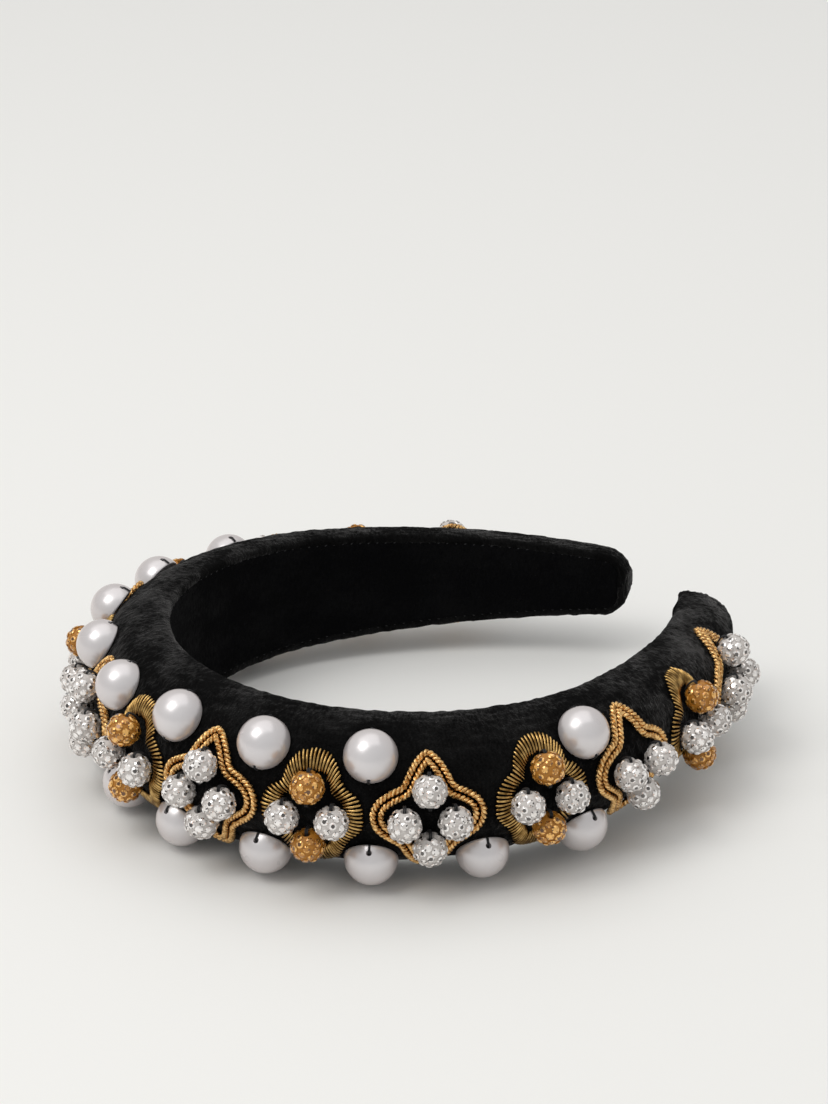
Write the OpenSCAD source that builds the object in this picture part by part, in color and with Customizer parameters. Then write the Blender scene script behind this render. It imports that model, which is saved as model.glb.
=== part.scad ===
// Padded velvet headband with half-round pearls, paved ball beads, coiled gold cord and purl fringe.
// The band lies in the XY plane: crown towards +Y, open end towards -Y, Z across the band.
// The origin is the centre of the round part that grips the head, at half the band's width.

/* [Band] */
// Inner radius of the round part that grips the head
arc_r = 62.8; // [58:0.1:68]
// Half angle of that round part, counted from the crown
arc_angle = 105.5; // [95:0.5:108]
// Inner radius of each straighter leg
leg_r = 140; // [120:1:180]
// Angle that each leg turns through
leg_angle = 36.5; // [30:0.5:38]
// Width across the band at the crown
crown_w = 40; // [34:0.5:44]
// Width across the band at each tip
tip_w = 18; // [16:0.5:24]
// Padded thickness at the crown
crown_t = 22; // [18:0.5:26]
// Padded thickness at each tip
tip_t = 15.2; // [12:0.1:18]
// Corner radius of the tips
tip_r = 7; // [4:0.5:8]

/* [Layers] */
// Thickness of the outer velvet with its backing
cloth = 1; // [0.6:0.1:1.4]
// Thickness of the velvet lining strip
lining_t = 1; // [0.6:0.1:1.1]
// Thickness of the springy hoop
hoop_t = 1.6; // [1.2:0.1:1.8]
// Width of the hoop as a share of the band's width
hoop_share = 0.66; // [0.5:0.01:0.72]
// Diameter of the sewing thread
thread_d = 0.5; // [0.3:0.05:0.6]

/* [Trim] */
// Distance from one motif to the next near the crown, along the trim line, on the right side
right_pitch = 27; // [26:0.1:28]
// The same distance on the left side, where it stays the same all the way
left_pitch = 27.6; // [27:0.1:28]
// How much that distance grows from motif to motif on the right side
right_growth = 0.34; // [0:0.01:0.4]
// Diameter of the half-round pearls
pearl_d = 14; // [10:0.5:14.5]
// Height of a pearl's widest place above its flat back
pearl_rise = 0.8; // [0.4:0.1:1.2]
// Angle of the pearl rows above and below the middle of the band
pearl_row = 44; // [38:1:50]
// The same angle for the upper row on the left side, which sits lower
left_row = 39; // [36:1:50]
// How far the trim on the left leg sits below the middle of the band
left_drop = 2.2; // [0:0.1:3]
// How far the fourth and fifth motifs on the right sit above the middle
right_lift = 1.4; // [0:0.1:2]
// Width of the left side's motifs, as a share of the right side's
left_squeeze = 0.96; // [0.9:0.01:1]
// Diameter of the paved ball beads
bead_d = 9.3; // [8:0.1:9.4]
// Distance from a motif's centre to its beads above and below
bead_reach = 6.6; // [6:0.1:7]
// Distance from a motif's centre to its beads on both sides
side_reach = 5.9; // [5.8:0.1:7]
// Diameter of the twisted gold cord
cord_d = 1.85; // [1.2:0.05:1.9]
// Diameter of one cut purl tube in the fringes
purl_d = 0.65; // [0.5:0.05:0.7]

/* [Hidden] */
$fn = 48;
gap = 0.12;
seam_gap = 0.5;
bulge_crown = 0.8;
bulge_loss = 0.6;
taper_w = 2.05;
taper_t = 2.1;
trim_lift = 18;
ring_count = 36;
profile_steps = 14;
cord_rings = 38;
cord_sides = 6;
purl_count = 62;
purl_root = 0.64;
thread_hole_d = 1.3;
bead_hole_d = 1.5;
channel_h = 2.4;
hoop_inset = 4;
foam_inset = 1.2;
rim_n = 0.3;
lap_angle = 0.25;
lap_step = 0.03;
sides = ["left", "right"];
cord_motifs = [1, 3, 5, 7];
purl_motifs = [2, 4, 6];
pearl_gaps = [1, 2, 3, 4, 5];

arc_len = arc_r * arc_angle * PI / 180;
leg_len = leg_r * leg_angle * PI / 180;
half_len = arc_len + leg_len;
arc_gain = (arc_r + trim_lift) / arc_r;
leg_gain = (leg_r + trim_lift) / leg_r;
arc_reach = arc_len * arc_gain;
hoop_n = lining_t + gap;
foam_n = hoop_n + hoop_t + gap;

// Half outlines in millimetres on the velvet: right side, from the top down to the bottom.
cord_outline = [
    [0, 15.6], [2.6, 13.6], [4.6, 10.4], [6.3, 7.2], [9.4, 5.6], [12.3, 3.4], [13.5, 0],
    [12.4, -3.6], [9.2, -6.4], [6.6, -8.6], [5, -12.4], [2.9, -16.2], [0, -18.4],
];
purl_outline = [
    [0, 16.2], [4.2, 14.9], [6.8, 11.2], [7.9, 7.4], [10.6, 5.4], [12.5, 2.4], [13, -1.2],
    [12.2, -4.6], [9.5, -7.6], [7.7, -11], [6, -15], [3.2, -17.6], [0, -18.6],
];

// ---- The band's path. s is the length along the inner face from the crown, + to the left side.

function turn(s) = sign(s) * (abs(s) < arc_len
    ? abs(s) / arc_r * 180 / PI
    : arc_angle + (abs(s) - arc_len) / leg_r * 180 / PI);
function outward(s) = [sin(turn(s)), cos(turn(s)), 0];
function along(s) = [cos(turn(s)), -sin(turn(s)), 0];
function leg_centre(s) = (arc_r - leg_r) * [sign(s) * sin(arc_angle), cos(arc_angle), 0];
function inner_point(s) = abs(s) < arc_len
    ? arc_r * outward(s)
    : leg_centre(s) + leg_r * outward(s);

// ---- The D-shaped section: a flat face on the head and an elliptical dome outside.

function corner_cut(d, r) = d >= r ? 0 : r - sqrt(max(0, r * r - pow(r - max(d, 0), 2)));
function share(s) = min(1, abs(s) / half_len);
function half_w(s, inset = 0) = (crown_w - (crown_w - tip_w) * pow(share(s), taper_w)) / 2
    - inset - corner_cut(half_len - inset - abs(s), tip_r - inset);
function thick(s, inset = 0) = crown_t - (crown_t - tip_t) * pow(share(s), taper_t)
    - inset - corner_cut(half_len - inset - abs(s), tip_r - inset);
function dome(hw, t, bulge) =
    let (b = hw + bulge, q = sqrt(1 - pow(hw / b, 2)), a = t / (1 + q))
    [a, b, a * q];
function bulge_at(s) = bulge_crown - bulge_loss * share(s);
function dome_at(s, inset = 0) = dome(half_w(s, inset), thick(s, inset), bulge_at(s));
function dome_arc(s, d, from_n) =
    let (edge = acos((from_n - d[2]) / d[0]))
    [for (i = [0:profile_steps])
        let (beta = edge * (2 * i / profile_steps - 1))
        inner_point(s) + outward(s) * (d[2] + d[0] * cos(beta)) + [0, 0, d[1] * sin(beta)]];

// ---- The surface of the velvet. u runs along the trim line, v across the band, both in mm.

function reach_to_s(u) = sign(u) * (abs(u) < arc_reach
    ? abs(u) / arc_gain
    : arc_len + (abs(u) - arc_reach) / leg_gain);
function surface_frame(u, v) =
    let (
        s = reach_to_s(u),
        d = dome_at(s),
        beta = v / ((d[0] + 3 * d[1]) / 4) * 180 / PI,
        p = inner_point(s) + outward(s) * (d[2] + d[0] * cos(beta)) + [0, 0, d[1] * sin(beta)],
        n_raw = outward(s) * cos(beta) / d[0] + [0, 0, sin(beta) / d[1]],
        n = n_raw / norm(n_raw),
        t = along(s)
    )
    [p, t, cross(n, t), n];
function on_frame(f, x, y, z) = f[0] + x * f[1] + y * f[2] + z * f[3];
function on_velvet(u, v, lift) = on_frame(surface_frame(u, v), 0, 0, lift);
function across(u, angle) =
    let (d = dome_at(reach_to_s(u)))
    angle * (d[0] + 3 * d[1]) / 4 * PI / 180;
function motif_u(side, k) = side == "left" ? left_pitch * k : -(right_pitch * k + right_growth * k * k);
function leg_drop(side, k) = side == "left" ? left_drop * max(0, min(1, (k - 2) / 2)) : 0;
function motif_v(side, k) = side == "right" && (k == 4 || k == 5) ? right_lift : -leg_drop(side, k);
function motif_width(side) = side == "left" ? left_squeeze : 1;

// ---- Closed smooth outlines, from the half outlines above.

function mirrored(half, width) = concat(
    [for (p = half) [p[0] * width, p[1]]],
    [for (i = [len(half) - 2:-1:1]) [-half[i][0] * width, half[i][1]]]
);
function spline(a, b, c, d, t) = 0.5 * (2 * b + (c - a) * t + (2 * a - 5 * b + 4 * c - d) * t * t
    + (3 * b - a - 3 * c + d) * t * t * t);
function outline_at(loop, t) =
    let (n = len(loop), x = t * n, i = floor(x))
    spline(loop[(i + n - 1) % n], loop[i % n], loop[(i + 1) % n], loop[(i + 2) % n], x - i);
function shrunk(loop, t, inset) =
    let (
        p = outline_at(loop, t),
        ahead = outline_at(loop, (t + 0.004) % 1),
        run = (ahead - p) / norm(ahead - p)
    )
    p + inset * [run[1], -run[0]];

module place(u, v, lift = 0) {
    f = surface_frame(u, v);
    p = on_frame(f, 0, 0, lift);
    multmatrix([
        [f[1][0], f[2][0], f[3][0], p[0]],
        [f[1][1], f[2][1], f[3][1], p[1]],
        [f[1][2], f[2][2], f[3][2], p[2]],
        [0, 0, 0, 1],
    ])
        children();
}

module rod(a, b, d) {
    run = b - a;
    translate(a)
        rotate([0, acos(run[2] / norm(run)), atan2(run[1], run[0])])
            cylinder(h = norm(run), d = d, $fn = 16);
}

// A closed skin over equal rings of points, with a flat face on its first and last ring.
module skin(rings) {
    n = len(rings[0]);
    last = len(rings) - 1;
    points = [for (r = rings) each r];
    walls = [for (i = [0:last - 1], j = [0:n - 1])
        [i * n + j, i * n + (j + 1) % n, (i + 1) * n + (j + 1) % n, (i + 1) * n + j]];
    first_face = [for (j = [n - 1:-1:0]) j];
    last_face = [for (j = [0:n - 1]) last * n + j];
    polyhedron(points = points, faces = concat([first_face, last_face], walls), convexity = 6);
}

// A closed tube along a loop of points, round a circle at each point.
module loop_tube(loop, normals, d) {
    n = len(loop);
    points = [for (i = [0:n - 1])
        let (
            run = loop[(i + 1) % n] - loop[(i + n - 1) % n],
            side = cross(run / norm(run), normals[i])
        )
        for (j = [0:cord_sides - 1])
            loop[i] + d / 2 * (cos(j * 360 / cord_sides) * side + sin(j * 360 / cord_sides) * normals[i])];
    faces = [for (i = [0:n - 1], j = [0:cord_sides - 1])
        let (i2 = (i + 1) % n, j2 = (j + 1) % cord_sides)
        [i * cord_sides + j, i * cord_sides + j2, i2 * cord_sides + j2, i2 * cord_sides + j]];
    polyhedron(points = points, faces = faces, convexity = 6);
}

// A strip that follows the band between two distances from its inner face.
// Each leg laps the round part by a fraction of a degree, one small step further out.
module strip(near, far) {
    tall = crown_w + 2;
    sweep = leg_angle + 1;
    rotate_extrude(angle = 2 * arc_angle, start = 90 - arc_angle, $fn = 180)
        translate([arc_r + near, -tall / 2]) square([far - near, tall]);
    for (flip = [0, 1])
        mirror([flip, 0, 0])
            translate(leg_centre(1))
                rotate_extrude(angle = sweep + lap_angle, start = 90 - arc_angle - sweep, $fn = 240)
                    translate([leg_r + near + lap_step, -tall / 2]) square([far - near, tall]);
}

// The space between two heights that taper with the band: share and less set the height.
module taper_slab(portion, less, end_inset) {
    end = half_len - end_inset;
    stops = [for (i = [0:36]) end * sin(90 * i / 36)];
    top = [for (s = stops) [inner_point(s)[1], portion * half_w(s * half_len / end) - less]];
    outline = concat([[arc_r + 9, top[0][1]]], top, [[top[36][0], 0]]);
    lower = [for (i = [len(outline) - 2:-1:0]) [outline[i][0], -outline[i][1]]];
    rotate([90, 0, 90])
        linear_extrude(height = 4 * arc_r, center = true)
            polygon(concat(outline, lower));
}

// ---- The pieces.

module hoop() color("dimgray")
    intersection() {
        strip(hoop_n, hoop_n + hoop_t);
        taper_slab(hoop_share, 0, hoop_inset);
    }

module inner_lining() color([0.05, 0.05, 0.06])
    intersection() {
        strip(0, lining_t);
        taper_slab(1, cloth + seam_gap, 2);
    }

module seam_thread() color("black")
    intersection() {
        strip(0.3, 0.3 + thread_d);
        difference() {
            taper_slab(1, cloth + gap / 2, 1.4);
            taper_slab(1, cloth + seam_gap - gap / 2, 1.8);
        }
    }

// One C-shaped shell: a dome outside and a smaller dome inside, open towards the head.
// Its rims stand back a little from the lining's face, and past the inner dome's ends the tips are solid.
module outer_cover() {
    inner_end = half_len - cloth;
    bend = [for (i = [0:ring_count]) inner_end * sin(90 * i / ring_count)];
    stops = concat([-half_len], [for (i = [ring_count:-1:1]) -bend[i]], bend, [half_len]);
    last = len(stops) - 1;
    n = profile_steps + 1;
    outer_rings = [for (s = stops) dome_arc(s, dome_at(s), rim_n)];
    inner_rings = [for (s = stops) dome_arc(s, dome_at(s, cloth), rim_n)];
    points = concat(
        [for (ring = outer_rings) each ring],
        [for (i = [1:last - 1]) each inner_rings[i]]
    );
    function out(i, j) = i * n + j;
    function in(i, j) = (last + i) * n + j;
    outer_walls = [for (i = [0:last - 1], j = [0:n - 2])
        [out(i, j), out(i, j + 1), out(i + 1, j + 1), out(i + 1, j)]];
    inner_walls = [for (i = [1:last - 2], j = [0:n - 2])
        [in(i, j), in(i + 1, j), in(i + 1, j + 1), in(i, j + 1)]];
    low_rim = [for (i = [1:last - 2]) [out(i, 0), out(i + 1, 0), in(i + 1, 0), in(i, 0)]];
    high_rim = [for (i = [1:last - 2])
        [out(i, n - 1), in(i, n - 1), in(i + 1, n - 1), out(i + 1, n - 1)]];
    caps = [[for (j = [n - 1:-1:0]) out(0, j)], [for (j = [0:n - 1]) out(last, j)]];
    inner_ends = [[for (j = [0:n - 1]) in(1, j)], [for (j = [n - 1:-1:0]) in(last - 1, j)]];
    floors = [
        [out(0, 0), out(1, 0), in(1, 0), in(1, n - 1), out(1, n - 1), out(0, n - 1)],
        [out(last, n - 1), out(last - 1, n - 1), in(last - 1, n - 1), in(last - 1, 0),
            out(last - 1, 0), out(last, 0)],
    ];
    color([0.04, 0.04, 0.05])
        polyhedron(
            points = points,
            faces = concat(outer_walls, inner_walls, low_rim, high_rim, caps, inner_ends, floors),
            convexity = 6
        );
}

module foam_pad() {
    inset = cloth + gap;
    end = half_len - foam_inset - inset;
    stops = [for (i = [-30:30]) end * sin(90 * i / 30)];
    color("lightgray")
        skin([for (s = stops) dome_arc(s, dome_at(s, inset), foam_n)]);
}

module half_pearl() {
    difference() {
        translate([0, 0, pearl_rise]) sphere(d = pearl_d);
        translate([0, 0, -pearl_d / 2]) cube([2 * pearl_d, 2 * pearl_d, pearl_d], center = true);
        translate([0, 0, channel_h]) rotate([90, 0, 0])
            cylinder(d = thread_hole_d, h = 2 * pearl_d, center = true);
    }
}

// Which pearls there are: one above and one below the middle in each gap between motifs.
// The fourth gap on the right has no upper pearl.
function pearl_rows(side, k) = side == "right" && k == 4 ? [-1] : [-1, 1];
function pearl_u(side, k) = motif_u(side, k - 0.5);
function row_angle(side, row) = side == "left" && row > 0 ? left_row : pearl_row;
function pearl_v(side, k, row) =
    across(pearl_u(side, k), row * row_angle(side, row)) - leg_drop(side, k) - leg_drop(side, k - 1);

module pearl_pair(side, k) {
    u = pearl_u(side, k);
    color([0.92, 0.91, 0.94])
        for (row = pearl_rows(side, k))
            place(u, pearl_v(side, k, row), gap) half_pearl();
}

module ball_bead(u, v) {
    place(u, v, bead_d / 2 + gap)
        difference() {
            sphere(d = bead_d);
            rotate([90, 0, 0]) cylinder(d = bead_hole_d, h = 2 * bead_d, center = true);
        }
}

// Bead places round a motif's centre. The fifth motif on the right has no top bead.
function side_places() = [[-side_reach, -0.5], [side_reach, -0.5]];
function end_places() = [[0, bead_reach], [0, -bead_reach]];
function cord_places(side, k) = side == "right" && k == 5
    ? concat(side_places(), [end_places()[1]])
    : concat(side_places(), end_places());

module beads(side, k, places) {
    for (p = places) ball_bead(motif_u(side, k) + p[0], motif_v(side, k) + p[1]);
}

module crystals(side, k, places) color([0.85, 0.85, 0.88]) beads(side, k, places);

module amber(side, k) color([0.72, 0.47, 0.12]) beads(side, k, end_places());

module cord(side, k) {
    centre = [motif_u(side, k), motif_v(side, k)];
    loop = mirrored(cord_outline, motif_width(side));
    color([0.72, 0.55, 0.25])
        for (inset = [0, cord_d + gap]) {
            flat = [for (i = [0:cord_rings - 1]) centre + shrunk(loop, i / cord_rings, inset)];
            loop_tube(
                [for (p = flat) on_velvet(p[0], p[1], cord_d / 2 + gap)],
                [for (p = flat) surface_frame(p[0], p[1])[3]],
                cord_d
            );
        }
}

module purl_fringe(side, k) {
    centre = [motif_u(side, k), motif_v(side, k)];
    loop = mirrored(purl_outline, motif_width(side));
    lift = purl_d / 2 + 2 * gap;
    color([0.62, 0.47, 0.22])
        for (i = [0:purl_count - 1]) {
            reach = outline_at(loop, i / purl_count);
            tip = centre + reach;
            root = centre + purl_root * reach;
            rod(on_velvet(root[0], root[1], lift), on_velvet(tip[0], tip[1], lift), purl_d);
        }
}

// A stitch lies straight in its bore and shows at both ends.
module stitch(u, v, height, half_span) {
    f = surface_frame(u, v);
    rod(on_frame(f, 0, -half_span, height), on_frame(f, 0, half_span, height), thread_d);
}

// The end of a pearl's stitch goes down past the rim of the pearl to the velvet.
module stitch_end(u, v, way, half_span, height) {
    top = on_frame(surface_frame(u, v), 0, way * (half_span + thread_d / 2), height - thread_d);
    rod(top, on_velvet(u, v + way * (half_span + thread_d), thread_d / 2 + gap), thread_d);
}

module pearl_thread() {
    half_span = pearl_d / 2 + thread_d / 2 + gap;
    height = channel_h + gap;
    color("black")
        for (side = sides, k = pearl_gaps, row = pearl_rows(side, k)) {
            u = pearl_u(side, k);
            v = pearl_v(side, k, row);
            stitch(u, v, height, half_span);
            for (way = [-1, 1]) stitch_end(u, v, way, half_span, height);
        }
}

function all_places(side, k) =
    k % 2 == 1 ? cord_places(side, k) : concat(side_places(), end_places());

module bead_thread() {
    color("black")
        for (side = sides, k = [side == "left" ? 0 : 1:7], p = all_places(side, k))
            stitch(motif_u(side, k) + p[0], motif_v(side, k) + p[1], bead_d / 2 + gap, bead_d / 2 + thread_d);
}

hoop();
foam_pad();
outer_cover();
inner_lining();
seam_thread();
pearl_thread();
bead_thread();
purl_fringe("left", 0);  // purl_crown
crystals("left", 0, side_places());  // crystals_crown
amber("left", 0);  // amber_crown
for (side = sides) {
    for (k = pearl_gaps)
        pearl_pair(side, k);
    for (k = cord_motifs) {
        cord(side, k);
        crystals(side, k, cord_places(side, k));
    }
    for (k = purl_motifs) {
        purl_fringe(side, k);
        crystals(side, k, side_places());
        amber(side, k);
    }
}
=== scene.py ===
import math

import bpy
import numpy as np
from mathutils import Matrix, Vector


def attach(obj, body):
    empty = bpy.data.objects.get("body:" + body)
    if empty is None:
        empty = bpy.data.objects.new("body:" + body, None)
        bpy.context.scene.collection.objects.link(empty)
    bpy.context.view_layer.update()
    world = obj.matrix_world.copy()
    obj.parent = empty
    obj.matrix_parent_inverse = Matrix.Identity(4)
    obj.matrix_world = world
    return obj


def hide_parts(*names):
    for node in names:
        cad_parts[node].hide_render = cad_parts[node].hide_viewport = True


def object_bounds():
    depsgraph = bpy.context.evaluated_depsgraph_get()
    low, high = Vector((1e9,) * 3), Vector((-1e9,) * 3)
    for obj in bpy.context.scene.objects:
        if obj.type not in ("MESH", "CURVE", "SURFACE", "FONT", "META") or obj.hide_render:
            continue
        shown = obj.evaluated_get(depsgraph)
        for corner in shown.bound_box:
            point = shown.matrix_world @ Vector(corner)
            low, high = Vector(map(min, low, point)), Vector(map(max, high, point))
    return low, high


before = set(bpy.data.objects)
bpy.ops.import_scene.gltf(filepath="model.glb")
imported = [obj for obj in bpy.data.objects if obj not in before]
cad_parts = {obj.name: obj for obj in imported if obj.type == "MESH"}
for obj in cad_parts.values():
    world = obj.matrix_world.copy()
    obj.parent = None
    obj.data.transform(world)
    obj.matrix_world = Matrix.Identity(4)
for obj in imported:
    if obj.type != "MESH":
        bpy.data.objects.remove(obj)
cad_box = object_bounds()

# ---- Sizes in millimetres and angles in radians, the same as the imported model's.

MM = 0.001

ARC_R = 62.8
ARC_ANGLE = math.radians(105.5)
LEG_R = 140
LEG_ANGLE = math.radians(36.5)
CROWN_W = 40
TIP_W = 18
CROWN_T = 22
TIP_T = 15.2
TIP_R = 7
TAPER_W = 2.05
TAPER_T = 2.1
BULGE_CROWN = 0.8
BULGE_LOSS = 0.6
TRIM_LIFT = 18

CLOTH = 1
LINING_T = 1
HOOP_T = 1.6
GAP = 0.12
FOAM_INSET = 1.2

PITCH = {"left": 27.6, "right": 27}
GROWTH = {"left": 0, "right": 0.34}
HAND = {"left": 1, "right": -1}
WIDTH = {"left": 0.96, "right": 1}
PEARL_D = 14
PEARL_RISE = 0.8
PEARL_ROW = math.radians(44)
LEFT_ROW = math.radians(39)
PEARL_HOLE_D = 1.3
PEARL_HOLE_H = 2.4
LEFT_DROP = 2.2
RIGHT_LIFT = 1.4
BEAD_D = 9.3
BEAD_REACH = 6.6
SIDE_REACH = 5.9
BEAD_HOLE_D = 1.5
CORD_D = 1.85
PURL_D = 0.65
PURL_ROOT = 0.64

ARC_LEN = ARC_R * ARC_ANGLE
HALF_LEN = ARC_LEN + LEG_R * LEG_ANGLE
ARC_GAIN = (ARC_R + TRIM_LIFT) / ARC_R
LEG_GAIN = (LEG_R + TRIM_LIFT) / LEG_R
ARC_REACH = ARC_LEN * ARC_GAIN

SIDES = ("left", "right")
CORD_MOTIFS = (1, 3, 5, 7)
PEARL_GAPS = (1, 2, 3, 4, 5)
UP = np.array([0.0, 0.0, 1.0])

# Half outlines on the velvet: right side, from the top down to the bottom.
CORD_OUTLINE = (
    (0, 15.6), (2.6, 13.6), (4.6, 10.4), (6.3, 7.2), (9.4, 5.6), (12.3, 3.4), (13.5, 0),
    (12.4, -3.6), (9.2, -6.4), (6.6, -8.6), (5, -12.4), (2.9, -16.2), (0, -18.4),
)
PURL_OUTLINE = (
    (0, 16.2), (4.2, 14.9), (6.8, 11.2), (7.9, 7.4), (10.6, 5.4), (12.5, 2.4), (13, -1.2),
    (12.2, -4.6), (9.5, -7.6), (7.7, -11), (6, -15), (3.2, -17.6), (0, -18.6),
)

# ---- Sizes of the visible detail, in millimetres.

# The cover: how far it is turned in over the face, how deep the lining sits, and how its edges round off.
TUCK = 2.2
LINING_RECESS = 1.08
RECESS_RAMP = 0.7
EDGE_SOFTNESS = 0.9
TIP_ROUND = 1.4
TIP_ZONE = 9.0
PILE_RELIEF = 0.26

# The stuffing's puff: its limit, and what holds the cover down.
PUFF_CAP = 0.9
SEAM_HOLD = 2.5
HOLD_FADE = 2.0
PEARL_HOLD = 0.8

# The foam stands this much away from the cloth.
FOAM_SLACK = 0.2

# The lining: its lap over the cover's edge, and the fold along its own edge.
LINING_LAP = 0.35
LINING_TIP_R = 3.5
FOLD_WIDTH = 1.1
FOLD_DEPTH = 0.8

# The seam's ladder stitches.
STITCH_STEP = 2.6
STITCH_RUN = 1.5
STITCH_SLANT = 0.45
STITCH_DEPTH = 0.72
STITCH_RISE = 0.34
SEAM_END = 5
SEAM_STRAND_D = 0.4

# The two plies of the gold cord.
PLY_R = 0.46
PLY_SWING = 0.46
PLY_PITCH = 2.3

# The purl tubes: their spacing, arch and narrowed ends, and how unevenly a hand lays them.
PURL_STEP = 1.15
PURL_ARCH = 0.75
PURL_END = 0.75
PURL_SHIFT = 0.0004
PURL_TIP_SPREAD = 0.008
PURL_ROOT_SPREAD = 0.012

# The stones on a ball bead.
STONE_R = 1.05
STONE_COUNT = 46
STONE_CORNERS = 8
STONE_TABLE = 0.55
STONE_CROWN = 0.28
STONE_SKIRT = 0.8
STONE_DEPTH = 0.5
STONE_SINK = 0.34
CLAY_SINK = 0.44

# The bores' worn mouths, the pearls' rounded lower edge and the threads.
BEAD_FLARE = 0.5
PEARL_FLARE = 0.12
PEARL_LIP = 0.35
PEARL_STRAND_D = 0.34
BEAD_STRAND_D = 0.48


# ---- The band's path. s is the length along the inner face from the crown, + to the left side.

def turn(s):
    reach = np.abs(s)
    on_leg = ARC_ANGLE + (reach - ARC_LEN) / LEG_R
    return np.sign(s) * np.where(reach < ARC_LEN, reach / ARC_R, on_leg)


def outward(s):
    angle = turn(s)
    return np.stack([np.sin(angle), np.cos(angle), 0 * angle], -1)


def along(s):
    angle = turn(s)
    return np.stack([np.cos(angle), -np.sin(angle), 0 * angle], -1)


def inner_point(s):
    centre = np.stack([np.sign(s) * math.sin(ARC_ANGLE), 0 * s + math.cos(ARC_ANGLE), 0 * s], -1)
    on_leg = (ARC_R - LEG_R) * centre + LEG_R * outward(s)
    return np.where((np.abs(s) < ARC_LEN)[..., None], ARC_R * outward(s), on_leg)


# ---- The D-shaped section: a flat face on the head and an elliptical dome outside.

def corner_cut(depth, radius):
    cut = radius - np.sqrt(np.maximum(0, radius**2 - (radius - np.maximum(depth, 0)) ** 2))
    return np.where(depth >= radius, 0, cut)


def share(s):
    return np.minimum(1, np.abs(s) / HALF_LEN)


def tip_cut(s, inset):
    return inset + corner_cut(HALF_LEN - inset - np.abs(s), TIP_R - inset)


def half_width(s, inset=0.0):
    return (CROWN_W - (CROWN_W - TIP_W) * share(s) ** TAPER_W) / 2 - tip_cut(s, inset)


def thickness(s, inset=0.0):
    return CROWN_T - (CROWN_T - TIP_T) * share(s) ** TAPER_T - tip_cut(s, inset)


def dome_at(s, inset=0.0):
    """The dome's half height outward, half height upward, and the distance of its middle from the face."""
    half = half_width(s, inset)
    wide = half + BULGE_CROWN - BULGE_LOSS * share(s)
    low = np.sqrt(1 - (half / wide) ** 2)
    tall = thickness(s, inset) / (1 + low)
    return tall, wide, tall * low


# ---- The surface of the velvet. u runs along the trim line, v across the band.

def reach_to_s(u):
    reach = np.abs(u)
    on_leg = ARC_LEN + (reach - ARC_REACH) / LEG_GAIN
    return np.sign(u) * np.where(reach < ARC_REACH, reach / ARC_GAIN, on_leg)


def s_to_reach(s):
    reach = np.abs(s)
    on_leg = ARC_REACH + (reach - ARC_LEN) * LEG_GAIN
    return np.sign(s) * np.where(reach < ARC_LEN, reach * ARC_GAIN, on_leg)


def unit(vectors):
    return vectors / np.linalg.norm(vectors, axis=-1, keepdims=True)


def arc_scale(tall, wide):
    """Millimetres across the band for each radian round the dome."""
    return (tall + 3 * wide) / 4


def surface_frame(u, v):
    """The place, the way along the band, the way across it and the way out of it."""
    u, v = np.broadcast_arrays(np.asarray(u, float), np.asarray(v, float))
    s = reach_to_s(u)
    tall, wide, middle = dome_at(s)
    beta = v / arc_scale(tall, wide)
    out = outward(s)
    place = inner_point(s) + out * (middle + tall * np.cos(beta))[..., None]
    place = place + UP * (wide * np.sin(beta))[..., None]
    normal = unit(out * (np.cos(beta) / tall)[..., None] + UP * (np.sin(beta) / wide)[..., None])
    run = along(s)
    return place, run, np.cross(normal, run), normal


def placed(points, u, v, lift):
    """Points of a small piece, standing on the velvet at one place."""
    place, run, across_way, normal = surface_frame(u, v)
    return place + points @ np.stack([run, across_way, normal]) + lift * normal


def across(u, angle):
    """The distance across the band that a dome angle stands for."""
    tall, wide, _ = dome_at(reach_to_s(np.float64(u)))
    return angle * arc_scale(tall, wide)


def leg_drop(side, k):
    """The trim on the left leg drifts down from the third motif to the fourth."""
    return LEFT_DROP * max(0, min(1, (k - 2) / 2)) if side == "left" else 0.0


def motif_centre(side, k):
    u = HAND[side] * (PITCH[side] * k + GROWTH[side] * k * k)
    v = RIGHT_LIFT if side == "right" and k in (4, 5) else -leg_drop(side, k)
    return np.array([u, v])


def pearl_places(side, k):
    """One pearl above and one below the middle; the upper one of the fourth gap on the right is missing."""
    u = motif_centre(side, k - 0.5)[0]
    drop = -leg_drop(side, k) - leg_drop(side, k - 1)
    rows = (-1,) if (side, k) == ("right", 4) else (-1, 1)
    angles = [LEFT_ROW if side == "left" and row > 0 else row * PEARL_ROW for row in rows]
    return [(u, across(u, angle) + drop) for angle in angles]


SIDE_BEADS = ((-SIDE_REACH, -0.5), (SIDE_REACH, -0.5))
END_BEADS = ((0, BEAD_REACH), (0, -BEAD_REACH))


def cord_beads(side, k):
    """Four beads; the top one of the fifth motif on the right is missing."""
    ends = END_BEADS[1:] if (side, k) == ("right", 5) else END_BEADS
    return SIDE_BEADS + ends


def motifs():
    """Every motif's label, side and number, from the crown outward."""
    yield "crown", "left", 0
    for side in SIDES:
        for k in range(1, 8):
            yield f"{side}_{k}", side, k


# ---- Closed smooth outlines.

def mirrored(half, side):
    loop = np.array(half + tuple((-x, y) for x, y in half[-2:0:-1]), float)
    return loop * (WIDTH[side], 1)


def outline_at(loop, t):
    """Points of the smooth closed curve through a loop's points, for t from 0 to 1."""
    n = len(loop)
    x = (np.asarray(t) % 1) * n
    i = np.floor(x).astype(int)
    a, b, c, d = (loop[(i + shift) % n] for shift in (-1, 0, 1, 2))
    x = (x - i)[..., None]
    return 0.5 * (2 * b + (c - a) * x + (2 * a - 5 * b + 4 * c - d) * x**2 + (3 * b - a - 3 * c + d) * x**3)


def outline_run(loop, t):
    return unit(outline_at(loop, t + 0.002) - outline_at(loop, t - 0.002))


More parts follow.
